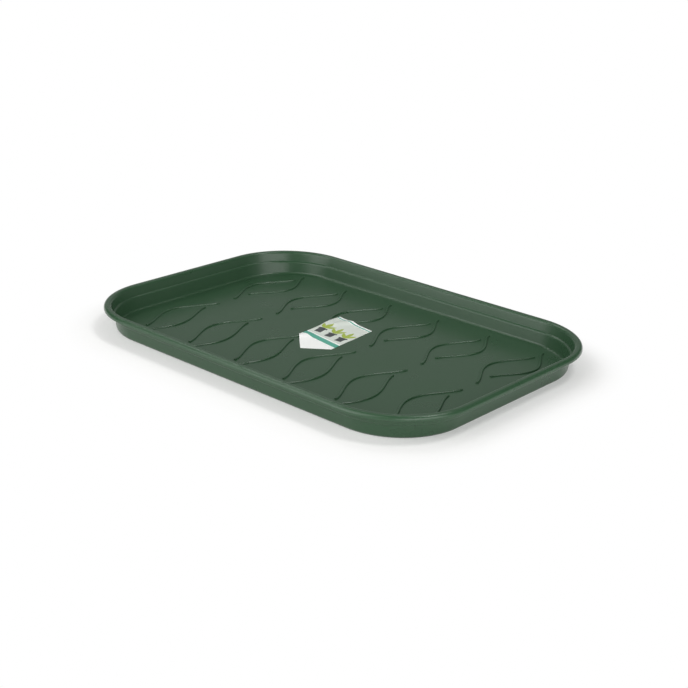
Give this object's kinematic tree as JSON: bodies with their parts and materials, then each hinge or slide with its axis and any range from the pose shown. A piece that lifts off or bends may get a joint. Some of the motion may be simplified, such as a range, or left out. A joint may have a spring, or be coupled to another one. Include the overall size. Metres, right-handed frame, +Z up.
{
  "type": "plant saucer",
  "caption": "Shallow rectangular plant saucer with rounded corners, a stepped wall, a turned-down rim and raised leaf ribs on its floor, with a cut paper label stuck inside.",
  "frame": {"origin": "middle of the tray's flat underside, on the surface that it stands on", "axes": "+X along the tray's long side, +Y along its short side, away from the label's point, +Z up out of the tray"},
  "size_m": [0.52, 0.36, 0.0302],
  "materials": {
    "moulded_green": "satin, fine moulded grain",
    "label_paper": "coated, printed"
  },
  "bodies": {
    "root": {"tray": "moulded_green", "label": "label_paper"}
  },
  "joints": []
}
